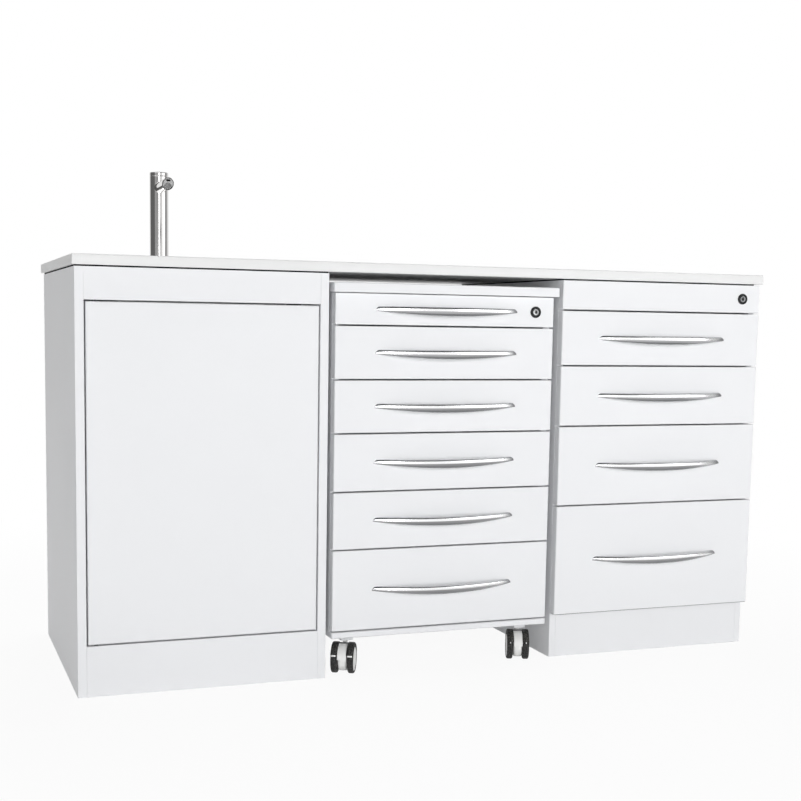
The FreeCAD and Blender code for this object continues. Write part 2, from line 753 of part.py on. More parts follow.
def caster_places():
    """Swivel axes of the casters, as X and Y."""
    left, right = mobile_left + caster_inset_x, mobile_right - caster_inset_x
    front, rear = stile_face + caster_inset_front, mobile_depth - caster_inset_back
    return {"front_left": (left, front), "front_right": (right, front),
            "rear_left": (left, rear), "rear_right": (right, rear)}


def caster(corner, x, y):
    """A twin-wheel caster, built with its axle along X and then swivelled."""
    axle = vec(x, y - caster_trail, wheel_radius)
    half_core = core_width / 2
    wheel_in = half_core + hood_side_clearance
    wheel_out = wheel_in + wheel_width
    inner_radius = wheel_radius + hood_gap
    keep_above = block(axle.x - wheel_out - over, axle.x + wheel_out + over,
                       axle.y - hood_radius - over, axle.y + hood_radius + over,
                       wheel_radius + hood_bottom, wheel_radius + hood_radius + over)
    hood = tube(hood_radius, inner_radius, axle - ALONG * wheel_out, ALONG,
                2 * wheel_out).common(keep_above)
    core = rod(core_radius, axle - ALONG * half_core, ALONG, core_width)
    web = block(axle.x - half_core, axle.x + half_core, axle.y - core_radius,
                axle.y + core_radius, wheel_radius, wheel_radius + hood_radius)
    web = web.common(rod(hood_radius, axle - ALONG * half_core, ALONG, core_width))
    top = wheel_radius + hood_radius
    pin = rod(swivel_radius, vec(x, y, wheel_radius + core_radius), UP,
              top + swivel_pin_length - wheel_radius - core_radius)
    bore = rod(axle_radius + axle_clearance, axle - ALONG * wheel_out, ALONG, 2 * wheel_out)
    sweep = rod(mobile_from_bay_side + caster_inset_x - swivel_side_clearance, vec(x, y, 0), UP,
                top + swivel_pin_length + over)
    fork = union(hood, core, web, pin).cut(bore).common(sweep)
    pair = turned([(0, -wheel_out), (wheel_radius, -wheel_out), (wheel_radius, -wheel_in),
                   (axle_radius, -wheel_in), (axle_radius, wheel_in), (wheel_radius, wheel_in),
                   (wheel_radius, wheel_out), (0, wheel_out)], axle, ALONG, UP)
    for solid in (fork, pair):
        solid.rotate(vec(x, y, 0), UP, caster_turns[corner])
    add("caster_%s_fork" % corner, fork)
    add("caster_%s_wheels" % corner, pair)


def origin():
    """The point of the building frame that becomes the origin of the exported part."""
    return vec(run_width / 2, (carcass_depth + worktop_back_overhang - handle_rise) / 2, 0)


def build():
    sink_cabinet()
    sink_door()
    sink()
    tap()
    worktop()
    drawer_cabinet()
    mobile_cabinet()
    for corner, (x, y) in caster_places().items():
        caster(corner, x, y)


def export():
    os.makedirs("parts", exist_ok=True)
    shift = -origin()
    for name, solids in nodes.items():
        moved = []
        for solid in solids:
            copy = solid.copy()
            copy.translate(shift)
            moved.append(copy)
        shape = moved[0] if len(moved) == 1 else Part.makeCompound(moved)
        shape.exportStep("parts/%s.step" % name)


build()
export()
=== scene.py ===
import math

import bmesh
import bpy
from mathutils import Matrix, Vector


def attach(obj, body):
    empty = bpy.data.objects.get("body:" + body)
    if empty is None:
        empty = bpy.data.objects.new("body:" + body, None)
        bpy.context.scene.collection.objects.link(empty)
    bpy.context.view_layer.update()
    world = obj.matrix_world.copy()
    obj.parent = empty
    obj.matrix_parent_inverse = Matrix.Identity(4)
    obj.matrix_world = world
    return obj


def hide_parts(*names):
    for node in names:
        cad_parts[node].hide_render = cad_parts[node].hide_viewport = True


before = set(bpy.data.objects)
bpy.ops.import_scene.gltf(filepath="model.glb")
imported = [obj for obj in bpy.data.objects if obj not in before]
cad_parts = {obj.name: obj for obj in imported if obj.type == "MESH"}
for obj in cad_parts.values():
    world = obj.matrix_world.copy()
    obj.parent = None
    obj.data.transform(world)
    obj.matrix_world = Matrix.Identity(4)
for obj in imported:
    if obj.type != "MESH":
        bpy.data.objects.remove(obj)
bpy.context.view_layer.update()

# The visible finish of the dental cabinet run. Shapes are written in millimetres of the
# building frame: X along the front from the left side, Y into the depth from the front plane,
# Z up from the floor. Form.piece() turns them into metres of the exported part's frame.

# The exported part's origin: on the floor, in the middle of the footprint
ORIGIN = Vector((762.5, 265.0, 0.0))

SHEET = 1.2
BEND = 1.4
UPRIGHT_BEND = 3.0
UNIT_WIDTH = 500.0
RUN_LENGTH = 1525.0
DEPTH = 550.0
CARCASS_TOP = 827.0
SLAB_LOW, SLAB_TOP = 830.0, 850.0
OVERHANG, BACK_OVERHANG = 5.0, 15.0
FRONT_DEPTH, FRONT_GAP = 19.0, 1.0
SIDE_LIP, END_LIP = 40.0, 10.0
TRAY_BACK = 469.0
LINER = 15.0
RAIL_START = 21.0
SLIDE_WIDTH, SLIDE_HEIGHT = 13.0, 35.0
HANDLE_LENGTH, HANDLE_RISE = 318.0, 35.0
# Opening of the bowl: left, right, front and back
BOWL = (70.0, 430.0, 110.0, 430.0)
BOWL_CORNER, BOWL_FLANGE, BOWL_FLOOR = 40.0, 20.0, 670.0
DRAIN = (250.0, 270.0)
TAP = (250.0, 490.0)
TAP_HEIGHT, TAP_RADIUS, TAP_HOLE = 210.0, 21.0, 17.5
SPOUT_RADIUS, SPOUT_LEVEL, SPOUT_END = 13.0, 1025.0, 375.0
WHEEL_RADIUS, CASTER_TRAIL = 30.0, 20.0

# Lowest and highest level of each drawer front, from the bottom up
CABINET_FRONTS = [(99.0, 338.0), (341.0, 512.0), (515.0, 643.0), (646.0, 762.0)]
MOBILE_FRONTS = [(96.0, 263.0), (266.0, 383.0), (386.0, 503.0), (506.0, 613.0), (616.0, 723.0),
                 (726.0, 789.0)]
# Left and right side
CABINET_SIDES = (1025.0, 1525.0)
MOBILE_SIDES = (513.5, 1003.5)
# Place of the swivel pin, and the turn in degrees
CASTERS = {"front_left": (558.5, 47.0, -27.0), "front_right": (958.5, 47.0, -21.0),
           "rear_left": (558.5, 500.0, 14.0), "rear_right": (958.5, 500.0, -9.0)}
# x, z, inner face of what holds the lock, reach of its cam
CABINET_LOCK = (1478.5, 796.0, 20.0, 52.0)
MOBILE_LOCK = (960.0, 757.5, 19.0, 37.5)


# Materials

class Value:
    """One output of a node, so that sums in a material read as sums."""

    def __init__(self, nodes, socket):
        self.nodes = nodes
        self.socket = socket

    def __add__(self, other):
        return self.nodes.maths("ADD", self, other)

    def __radd__(self, other):
        return self.nodes.maths("ADD", other, self)

    def __sub__(self, other):
        return self.nodes.maths("SUBTRACT", self, other)

    def __rsub__(self, other):
        return self.nodes.maths("SUBTRACT", other, self)

    def __mul__(self, other):
        return self.nodes.maths("MULTIPLY", self, other)

    def __rmul__(self, other):
        return self.nodes.maths("MULTIPLY", other, self)

    def between(self, low, high, start=0.0, end=1.0):
        """Runs smoothly from start, where this value is low, to end, where it is high."""
        return self.nodes.add("MapRange", {"interpolation_type": "SMOOTHSTEP"},
                              {"Value": self, "From Min": low, "From Max": high,
                               "To Min": start, "To Max": end})


class Nodes:
    """A node tree whose nodes all come from add()."""

    def __init__(self, tree):
        self.tree = tree

    def add(self, kind, settings, sockets, output=0):
        """Makes a node, sets it, then fills its sockets, and gives one of its outputs."""
        node = self.tree.nodes.new("ShaderNode" + kind)
        for key, setting in settings.items():
            setattr(node, key, setting)
        for key, value in sockets.items():
            self.fill(node.inputs[key], value)
        return Value(self, node.outputs[output])

    def fill(self, socket, value):
        if isinstance(value, Value):
            self.tree.links.new(value.socket, socket)
        elif socket.type == "RGBA":
            socket.default_value = (*value, 1.0)
        else:
            socket.default_value = value

    def maths(self, operation, *values):
        return self.add("Math", {"operation": operation}, dict(enumerate(values)))

    def mixed(self, first, second, share):
        """A colour between two colours."""
        return self.add("Mix", {"data_type": "RGBA"}, {0: share, 6: first, 7: second}, 2)


class Finish(Nodes):
    """A material on the standard shader, with helpers for its patterns."""

    def __init__(self, name, **constants):
        self.material = bpy.data.materials.new(name)
        self.material.use_nodes = True
        super().__init__(self.material.node_tree)
        self.shader = self.tree.nodes["Principled BSDF"]
        for key, value in constants.items():
            self.fill(self.shader.inputs[key.replace("_", " ")], value)
        self.place = self.add("TexCoord", {}, {}, "Object")

    def noise(self, scale, detail=2.0, stretch=(1.0, 1.0, 1.0), roughness=0.5):
        place = self.add("Mapping", {}, {"Vector": self.place, "Scale": stretch})
        return self.add("TexNoise", {}, {"Vector": place, "Scale": scale, "Detail": detail,
                                         "Roughness": roughness})

    def cells(self, scale):
        return self.add("TexVoronoi", {}, {"Vector": self.place, "Scale": scale}, "Distance")

    def height(self):
        """Height in metres over the floor, in the rest pose."""
        return self.add("SeparateXYZ", {}, {0: self.place}, "Z")

    def colour(self, first, second, share):
        self.fill(self.shader.inputs["Base Color"], self.mixed(first, second, share))
        return self

    def rough(self, value):
        self.fill(self.shader.inputs["Roughness"], value)
        return self

    def bump(self, *layers):
        """Fine relief from (height, depth in metres, strength) layers, one over the other."""
        normal = None
        for height, depth, strength in layers:
            sockets = {"Height": height, "Distance": depth, "Strength": strength}
            if normal:
                sockets["Normal"] = normal
            normal = self.add("Bump", {}, sockets)
        self.fill(self.shader.inputs["Normal"], normal)
        return self


def enamel():
    """Semi-gloss powder coat: a fine orange peel, a little tone and scuffs by the floor."""
    f = Finish("white_enamel", Specular_IOR_Level=0.4)
    tone = f.noise(4.0, 3.0)
    scuff = f.noise(55.0, 4.0, (1.0, 1.0, 0.35), 0.6).between(0.58, 0.72)
    low = 1.0 - f.height().between(0.0, 0.09)
    f.colour((0.815, 0.822, 0.838), (0.835, 0.842, 0.856), tone)
    f.rough(0.30 + 0.08 * tone + 0.18 * scuff * low)
    return f.bump((f.noise(620.0), 0.00004, 0.35), (f.noise(40.0, 1.0), 0.0003, 0.05))


def worktop_white():
    """Smooth solid surface with a barely visible grain and wiped gloss."""
    f = Finish("white_worktop", Specular_IOR_Level=0.45)
    grain = f.cells(900.0).between(0.10, 0.35)
    f.colour((0.765, 0.768, 0.765), (0.800, 0.803, 0.800), grain)
    return f.rough(0.26 + 0.14 * f.noise(16.0, 4.0)).bump((f.noise(300.0), 0.00003, 0.3))


def spacer_tape_with_painted_shade():
    """Foam tape in the joint under the worktop, near-black so that it also paints the shade in the
    joint.
    """
    f = Finish("joint_tape_painted_shade", Specular_IOR_Level=0.1)
    f.colour((0.004, 0.004, 0.005), (0.012, 0.012, 0.013), f.noise(120.0, 3.0))
    return f.rough(0.75 + 0.1 * f.noise(40.0)).bump((f.noise(900.0), 0.0001, 0.5))


def satin_silver():
    """Satin handles: fine lines along the bow, a painted highlight on the upright band, and painted
    shade on the top edge, the ends and the belly.
    """
    f = Finish("satin_aluminium", Metallic=1.0)
    lines = f.noise(60.0, 3.0, (0.25, 6.0, 22.0), 0.7)
    box = f.add("TexCoord", {}, {}, "Generated")
    along = f.add("SeparateXYZ", {}, {0: box}, "X")
    level = f.add("SeparateXYZ", {}, {0: box}, "Z")
    # Painted light and shade: the ends, the lower belly and the top edge are painted darker, and
    # the upright band is painted bright as a highlight.
    painted_shade_at_ends = along.between(-0.02, 0.11) - along.between(0.89, 1.02)
    painted_highlight_band = level.between(0.5, 0.58) - 0.75 * level.between(0.84, 0.93)
    bright = (0.30 * level.between(0.05, 0.5) + 0.62 * painted_highlight_band) * painted_shade_at_ends
    f.colour((0.26, 0.265, 0.275), (0.95, 0.955, 0.96), bright + 0.08 * lines)
    return f.rough(0.18 + 0.10 * lines).bump((lines, 0.00003, 0.35))


def polished(name, first, second, base, waves):
    """Smooth metal with smudges and slightly wavy reflections."""
    f = Finish(name, Metallic=1.0)
    smudge = f.noise(38.0, 4.0, (1.0, 1.0, 0.5), 0.6)
    f.colour(first, second, smudge)
    f.rough(smudge.between(0.35, 0.75, base, base + 0.08))
    return f.bump((f.noise(26.0, 2.0, (1.0, 1.0, 0.3)), 0.0012, waves))


def brushed(name, first, second, stretch, base=0.26):
    """Metal with fine lines along the axis that has the smallest stretch."""
    f = Finish(name, Metallic=1.0)
    lines = f.noise(90.0, 4.0, stretch, 0.7)
    f.colour(first, second, lines)
    return f.rough(base + 0.16 * lines).bump((lines, 0.00003, 0.4))


def zinc():
    """Zinc-plated steel with its faint spangle."""
    f = Finish("rail_steel", Metallic=1.0)
    spangle = f.cells(260.0).between(0.0, 0.6)
    f.colour((0.50, 0.52, 0.54), (0.64, 0.65, 0.66), spangle)
    return f.rough(0.26 + 0.14 * spangle).bump((f.noise(700.0), 0.00002, 0.3))


def plastic(name, first, second, base, **constants):
    """Smooth moulded plastic with a little wear."""
    f = Finish(name, **constants)
    f.colour(first, second, f.noise(48.0, 4.0, roughness=0.6))
    return f.rough(base + 0.14 * f.noise(30.0, 3.0)).bump((f.noise(900.0), 0.00006, 0.4))


def speckled(name, first, second, base):
    """Dark moulded plastic or rubber with a coarse grain and dust in it."""
    f = Finish(name, Specular_IOR_Level=0.3)
    grain = f.noise(330.0, 3.0, roughness=0.7)
    f.colour(first, second, grain.between(0.40, 0.66))
    return f.rough(base - 0.1 + 0.2 * grain).bump((grain, 0.0003, 0.7))


FINISHES = {
    "enamel": enamel(),
    "worktop": worktop_white(),
    "tape": spacer_tape_with_painted_shade(),
    "silver": satin_silver(),
    "tap": polished("tap_steel", (0.60, 0.59, 0.585), (0.70, 0.69, 0.685), 0.04, 0.16),
    "lock": polished("lock_chrome", (0.30, 0.305, 0.31), (0.50, 0.505, 0.51), 0.16, 0.15),
    # A darker chrome for the cabinet lock's plug face.
    "dark_chrome": polished("lock_dark_chrome", (0.08, 0.08, 0.085), (0.30, 0.305, 0.31), 0.24, 0.3),
    "ring": plastic("lock_ring", (0.010, 0.010, 0.011), (0.028, 0.029, 0.030), 0.42,
                    Specular_IOR_Level=0.2),
    "steel": brushed("stainless_steel", (0.55, 0.56, 0.57), (0.66, 0.67, 0.68),
                     (0.3, 10.0, 10.0)),
    "zinc": zinc(),
    "pin": brushed("dark_steel", (0.10, 0.10, 0.105), (0.16, 0.16, 0.165), (8.0, 8.0, 0.5), 0.4),
    "tyre": speckled("grey_rubber", (0.008, 0.008, 0.008), (0.060, 0.059, 0.058), 0.66),
    "hood": speckled("grey_plastic", (0.010, 0.010, 0.010), (0.085, 0.083, 0.078), 0.5),
    "hub": plastic("white_hub", (0.86, 0.86, 0.85), (0.91, 0.91, 0.90), 0.34),
    "core": plastic("light_core", (0.86, 0.86, 0.845), (0.92, 0.92, 0.905), 0.42),
    "mesh": plastic("aerator_mesh", (0.26, 0.26, 0.26), (0.40, 0.40, 0.40), 0.40),
    "insert": plastic("spout_insert", (0.50, 0.50, 0.50), (0.66, 0.66, 0.66), 0.30),
    "pipe": plastic("white_plastic", (0.78, 0.78, 0.76), (0.85, 0.85, 0.84), 0.32),
    "seal": plastic("black_plastic", (0.008, 0.008, 0.009), (0.02, 0.02, 0.021), 0.4,
                    Specular_IOR_Level=0.2),
}


# Building shapes

class Form:
    """A mesh under construction, in millimetres of the building frame."""

    def __init__(self):
        self.mesh = bmesh.new()

    def face(self, points):
        return self.mesh.faces.new([self.mesh.verts.new(p) for p in points])

    def grid(self, rows, close=False):
        """Faces between closed rings of points. With close the last ring joins the first."""
        grid = [[self.mesh.verts.new(p) for p in row] for row in rows]
        count = len(grid[0])
        for low, high in zip(grid, grid[1:] + grid[:1] if close else grid[1:]):
            for i in range(count):
                j = (i + 1) % count
                self.mesh.faces.new((low[i], low[j], high[j], high[i]))
        return grid

    def capped(self, rows):
        grid = self.grid(rows)
        self.mesh.faces.new(list(reversed(grid[0])))
        self.mesh.faces.new(grid[-1])

    def prism(self, outline, to_space, low, high):
        """An outline in (u, v), drawn out from low to high along the third axis."""
        self.capped([[to_space(u, v, level) for u, v in outline] for level in (low, high)])

    def bars(self, count, centre, outline, z0, z1, start=0.0, span=360.0):
        """Upright bars round a vertical axis, from one outline in plan."""
        for k in range(count):
            turn = Matrix.Rotation(math.radians(start + span * k / count), 3, "Z")
            self.capped([[Vector((*centre, z)) + turn @ Vector((u, v, 0.0)) for u, v in outline]
                         for z in (z0, z1)])

    def lathe(self, profile, centre, axis=(0, 0, 1), radial=(1, 0, 0), steps=48, close=False):
        """Turns (radius, height) corners round an axis. A closed profile makes a ring."""
        axis, radial, centre = Vector(axis), Vector(radial), Vector(centre)
        side = axis.cross(radial)
        angles = [2 * math.pi * i / steps for i in range(steps)]
        self.grid([[centre + axis * h + (radial * math.cos(a) + side * math.sin(a)) * r
                    for a in angles] for r, h in profile], close=close)

    def piece(self, name, body, finish, slot, replaces=(), closed=True, bevel=0.0, rounds=2,
              sheet=0.0, angle=32.0, matrix=None, upright=0.0):
        """Turns the mesh into a piece that rides on a body.

        bevel rounds the edges sharper than angle, and upright gives upright edges in the front
        plane a wider bend. sheet gives an open mesh its thickness.
        """
        mesh = self.mesh
        bmesh.ops.remove_doubles(mesh, verts=mesh.verts, dist=0.0005)
        bmesh.ops.dissolve_degenerate(mesh, dist=0.0005, edges=mesh.edges)
        if closed:
            bmesh.ops.recalc_face_normals(mesh, faces=mesh.faces)
        if upright:
            weigh_edges(mesh, bevel / upright, angle)
        if matrix:
            mesh.transform(matrix)
        mesh.transform(Matrix.Scale(0.001, 4) @ Matrix.Translation(-ORIGIN))
        data = bpy.data.meshes.new(name)
        mesh.to_mesh(data)
        mesh.free()
        data.polygons.foreach_set("use_smooth", [True] * len(data.polygons))
        data.set_sharp_from_angle(angle=math.radians(angle))
        piece = bpy.data.objects.new(name, data)
        bpy.context.scene.collection.objects.link(piece)
        data.materials.append(FINISHES[finish].material)
        if bevel:
            edges = soften(piece, upright or bevel, rounds, angle)
            if upright:
                edges.limit_method = "WEIGHT"
        if sheet:
            thick = piece.modifiers.new("sheet", "SOLIDIFY")
            thick.thickness = sheet / 1000.0
            thick.offset = -1.0
            thick.use_even_offset = True
        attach(piece, body)
        if replaces:
            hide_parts(*replaces)
        return piece


def weigh_edges(mesh, share, angle):
    """Gives upright edges in the front plane a full bend, and the other folds a share of it."""
    weights = mesh.edges.layers.float.new("bevel_weight_edge")
    for edge in mesh.edges:
        if edge.is_manifold and edge.calc_face_angle() > math.radians(angle):
            low, high = (vert.co for vert in edge.verts)
            upright = abs(high.z - low.z) > 1.0 and max(abs(low.y), abs(high.y)) < 0.01
            edge[weights] = 1.0 if upright else share


def soften(piece, width, rounds, angle):
    """Rounds the edges that are sharper than angle, and keeps the flats' shading flat."""
    bevel = piece.modifiers.new("edges", "BEVEL")
    bevel.width = width / 1000.0
    bevel.segments = rounds
    bevel.limit_method = "ANGLE"
    bevel.angle_limit = math.radians(angle)
    bevel.harden_normals = True
    return bevel


def ring_of(x0, x1, y0, y1, radius, z, steps=10):
    """A rounded rectangle in plan."""
    points = []
    for cx, cy, start in ((x1 - radius, y1 - radius, 0), (x0 + radius, y1 - radius, 90),
                          (x0 + radius, y0 + radius, 180), (x1 - radius, y0 + radius, 270)):
        for i in range(steps + 1):
            a = math.radians(start + 90.0 * i / steps)
            points.append((cx + radius * math.cos(a), cy + radius * math.sin(a), z))
    return points


# Pieces in folded sheet

def pan(form, x0, x1, y0, y1, z0, z1):
    """The outer skin of a folded front: face, edges turned back, lips turned in behind."""
    outer = [(x0, z0), (x1, z0), (x1, z1), (x0, z1)]
    left, right, low, high = x0 + SIDE_LIP, x1 - SIDE_LIP, z0 + END_LIP, z1 - END_LIP
    mouth = [(left, low), (right, low), (right, high), (left, high)]
    form.face([(x, y0, z) for x, z in outer])
    for i in range(4):
        a, b = outer[i], outer[(i + 1) % 4]
        c, d = mouth[i], mouth[(i + 1) % 4]
        form.face([(a[0], y0, a[1]), (a[0], y1, a[1]), (b[0], y1, b[1]), (b[0], y0, b[1])])
        form.face([(a[0], y1, a[1]), (c[0], y1, c[1]), (d[0], y1, d[1]), (b[0], y1, b[1])])


def tray(form, x0, x1, y0, y1, z0, z1, hem):
    """The outer skin of an open box whose side walls end in a hem turned inwards."""
    form.face([(x0, y0, z0), (x0, y1, z0), (x1, y1, z0), (x1, y0, z0)])
    form.face([(x0, y0, z0), (x1, y0, z0), (x1, y0, z1), (x0, y0, z1)])
    form.face([(x1, y1, z0), (x0, y1, z0), (x0, y1, z1), (x1, y1, z1)])
    form.face([(x0, y1, z0), (x0, y0, z0), (x0, y0, z1), (x0, y1, z1)])
    form.face([(x1, y0, z0), (x1, y1, z0), (x1, y1, z1), (x1, y0, z1)])
    form.face([(x0, y0, z1), (x0 + hem, y0, z1), (x0 + hem, y1, z1), (x0, y1, z1)])
    form.face([(x1 - hem, y0, z1), (x1, y0, z1), (x1, y1, z1), (x1 - hem, y1, z1)])


def channel(form, side, wall_x, y0, y1, z, half, near, far):
    """A C-shaped drawer rail with its web on the tray."""
    t = SHEET
    outline = [(near, half), (far, half), (far, -half), (near, -half), (near, -half + t),
               (far - t, -half + t), (far - t, half - t), (near, half - t)]
    form.prism([(wall_x + side * u, z + v) for u, v in outline], lambda u, v, y: (u, y, v), y0, y1)


def handle(name, body, x, z):
    """A bow with an upright band that its finish paints bright as a highlight, a rounded top edge
    and a belly that slants back.
    """
    half = HANDLE_LENGTH / 2
    radius = (half * half + HANDLE_RISE * HANDLE_RISE) / (2 * HANDLE_RISE)
    sweep = math.asin(half / radius)
    crease, rise, drop, tip_drop = -2.2, 8.2, 9.3, 0.3
    top_round, full_depth, tip_start, tip_share, count = 4.6, 9.0, 0.955, 0.08, 88
    upper, lower = 0.30, 0.75
    rows = []
    for i in range(count + 1):
        s = -math.cos(math.pi * i / count)
        t = s * sweep
        out = Vector((math.sin(t), -math.cos(t), 0.0))
        surface = Vector((x, radius - HANDLE_RISE, z)) + out * radius
        depth = max(0.25, min(full_depth, -surface.y / math.cos(t)))
        past = max(0.0, (abs(s) - tip_start) / (1.0 - tip_start))
        share = tip_share + (1.0 - tip_share) * math.sqrt(max(0.0, 1.0 - past * past))
        top = rise * share
        low = -(tip_drop + (drop - tip_drop) * (1.0 - (radius * math.sin(t) / half) ** 2))
        r = min(top_round, 0.56 * top)
        edge = min(0.5, 0.12 * top, 0.06 * depth)
        slope = upper * 0.5 * -low, lower * 0.5 * -low
        fit = min(1.0, 0.8 * depth / (slope[0] + slope[1]))
        section = []
        for a in (0.0, 0.25, 0.5, 0.75, 1.0, 1.3, math.pi / 2):
            cut = min(depth, r * (1.0 - math.sin(a)))
            section.append((cut, top - r + math.sqrt(max(0.0, r * r - (r - cut) ** 2))))
        section.insert(0, (depth, section[0][1]))
        section += [(0.0, (top - r) * 0.5), (0.0, edge), (0.12 * edge, 0.0),
                    (0.5 * edge, -edge), (slope[0] * fit, low * 0.5),
                    ((slope[0] + 0.45 * slope[1]) * fit, low * 0.78),
                    ((slope[0] + slope[1]) * fit, low), (depth * 0.96, low), (depth, low * 0.9)]
        rows.append([surface - out * d + Vector((0.0, 0.0, crease + h)) for d, h in section])
    form = Form()
    form.capped(rows)
    form.piece(name, body, "silver", "satin_aluminium", [body + "_handle"], angle=50.0)


def drawers(prefix, sides, fronts):
    """Folded fronts, trays, drawer rails and bow handles, numbered from the top.

    Under the lowest front of the fixed cabinet, a thin dark strip paints the shadow line under its
    edge.
    """
    left, right = sides
    tray_lift, tray_fall, hem, rail_lift, rail_gap, rail_inset = 12.0, 11.0, 7.0, 2.0, 0.5, 3.4
    strip_side, strip_front, strip_back, strip_low, strip_high = 2.0, 1.6, 1.0, 0.8, 0.4
    for i, (z0, z1) in enumerate(fronts):
        number = len(fronts) - i
        body = "%s_drawer_%d" % (prefix, number)
        form = Form()
        pan(form, left, right, 0.0, FRONT_DEPTH, z0, z1)
        form.piece(body + "_front", body, "enamel", "white_enamel", [body], closed=False,
                   bevel=BEND, upright=UPRIGHT_BEND, rounds=4, sheet=SHEET)
        form = Form()
        tray(form, left + LINER + SLIDE_WIDTH, right - LINER - SLIDE_WIDTH, FRONT_DEPTH,
             TRAY_BACK, z0 + tray_lift, z1 - tray_fall, hem)
        form.piece(body + "_tray", body, "enamel", "white_enamel", closed=False, bevel=1.3,
                   sheet=SHEET)
        rail_z = z0 + tray_lift + rail_lift + SLIDE_HEIGHT / 2
        half = SLIDE_HEIGHT / 2 - 2 * (SHEET + rail_gap)
        form = Form()
        for side, wall in ((1, left + LINER), (-1, right - LINER)):
            channel(form, side, wall, RAIL_START, TRAY_BACK, rail_z, half, rail_inset,
                    SLIDE_WIDTH)
        form.piece(body + "_rails", body, "zinc", "rail_steel", bevel=0.3)
        handle(body + "_bow", body, (left + right) / 2, (z0 + z1) / 2)
        # A dark strip under this front paints the shadow line between its edge and the plinth.
        if body == "cabinet_drawer_4":
            form = Form()
            form.capped([ring_of(left + strip_side, right - strip_side, strip_front,
                                 FRONT_DEPTH - strip_back, 0.5, z, 2)
                         for z in (z0 - strip_low, z0 + strip_high)])
            form.piece(body + "_painted_shade_strip", body, "seal", "grey_rubber")


# Worktop, sink and tap

def loops_between(form, outer, holes):
    """Fills a flat face between one outer ring and its holes."""
    edges = []
    for loop in [outer] + holes:
        verts = [form.mesh.verts.new(p) for p in loop]
        edges += [form.mesh.edges.new((verts[i], verts[(i + 1) % len(verts)]))
                  for i in range(len(verts))]
    bmesh.ops.triangle_fill(form.mesh, edges=edges, use_beauty=True)


def slab():
    """One slab with a soft top edge, cut out for the bowl and the tap, and the tape below it."""
    corner, tape_in, tape_out, hole_steps = 2.5, 1.4, 30.0, 32
    form = Form()

    def plan(inset, z):
        out = OVERHANG - inset
        return ring_of(-out, RUN_LENGTH + out, -out, DEPTH + BACK_OVERHANG - inset,
                       corner - min(inset, 1.0), z, 4)

    def cut(inset, z):
        return ring_of(BOWL[0] - inset, BOWL[1] + inset, BOWL[2] - inset, BOWL[3] + inset,
                       BOWL_CORNER + inset, z, 10)

    def hole(z):
        angles = (2 * math.pi * k / hole_steps for k in range(hole_steps))
        return [(TAP[0] + TAP_HOLE * math.cos(a), TAP[1] + TAP_HOLE * math.sin(a), z)
                for a in angles]

    edge = [(0.6, SLAB_LOW), (0.15, SLAB_LOW + 0.15), (0.0, SLAB_LOW + 0.6),
            (0.0, SLAB_TOP - 2.0), (0.15, SLAB_TOP - 1.2), (0.6, SLAB_TOP - 0.6),
            (1.2, SLAB_TOP - 0.15), (2.0, SLAB_TOP)]
    form.grid([plan(i, z) for i, z in edge])
    form.grid([cut(i, z) for i, z in edge])
    form.grid([hole(SLAB_LOW), hole(SLAB_TOP)])
    for inset, z in (edge[0], edge[-1]):
        loops_between(form, plan(inset, z), [cut(inset, z), hole(z)])
    form.piece("worktop_slab", "cabinet_run", "worktop", "white_worktop", ["worktop"])
    # The near-black tape paints the shade in the joint under the slab.
    form = Form()
    for left, y0 in ((0.0, 0.0), (CABINET_SIDES[0], FRONT_DEPTH + FRONT_GAP)):
        ring = [(tape_in, CARCASS_TOP), (tape_in, SLAB_LOW), (tape_out, SLAB_LOW),
                (tape_out, CARCASS_TOP)]
        form.grid([ring_of(left + i, left + UNIT_WIDTH - i, y0 + i, DEPTH - i, 1.0, z, 2)
                   for i, z in ring], close=True)
    form.piece("worktop_spacers", "cabinet_run", "tape", "grey_plastic")


def bowl():
    """Pressed steel bowl: flange, straight walls, round floor edge and a fall to the drain."""
    x0, x1, y0, y1 = BOWL
    flange_corner, floor_corner, drain_radius = 42.0, 26.0, 23.5
    taper, bend_start, bend = 2.2, 694.0, 20.0
    rows = [ring_of(x0 - BOWL_FLANGE, x1 + BOWL_FLANGE, y0 - BOWL_FLANGE, y1 + BOWL_FLANGE,
                    flange_corner, SLAB_LOW, 10)]
    wall = [(-3.0, SLAB_LOW), (-0.9, SLAB_LOW - 0.6), (0.0, SLAB_LOW - 2.6), (0.6, 800.0),
            (1.6, 730.0), (taper, bend_start)]
    for a in (math.radians(18 * k) for k in range(1, 6)):
        wall.append((taper + bend * (1 - math.cos(a)), bend_start - bend * math.sin(a)))
    for inset, z in wall:
        radius = max(floor_corner, BOWL_CORNER - inset)
        rows.append(ring_of(x0 + inset, x1 - inset, y0 + inset, y1 - inset, radius, z, 10))
    drain = Vector((*DRAIN, 0.0))
    edge = [Vector(p) for p in rows[-1]]
    for share, z in ((0.45, 672.4), (0.8, 671.2), (1.0, BOWL_FLOOR)):
        row = []
        for p in edge:
            away = Vector((p.x, p.y, 0.0)) - drain
            point = drain + away.lerp(away.normalized() * drain_radius, share)
            row.append((point.x, point.y, z))
        rows.append(row)
    form = Form()
    form.grid(rows)
    form.piece("sink_bowl_pressing", "cabinet_run", "steel", "stainless_steel", ["sink_bowl"],
               closed=False, sheet=1.0, angle=50.0)


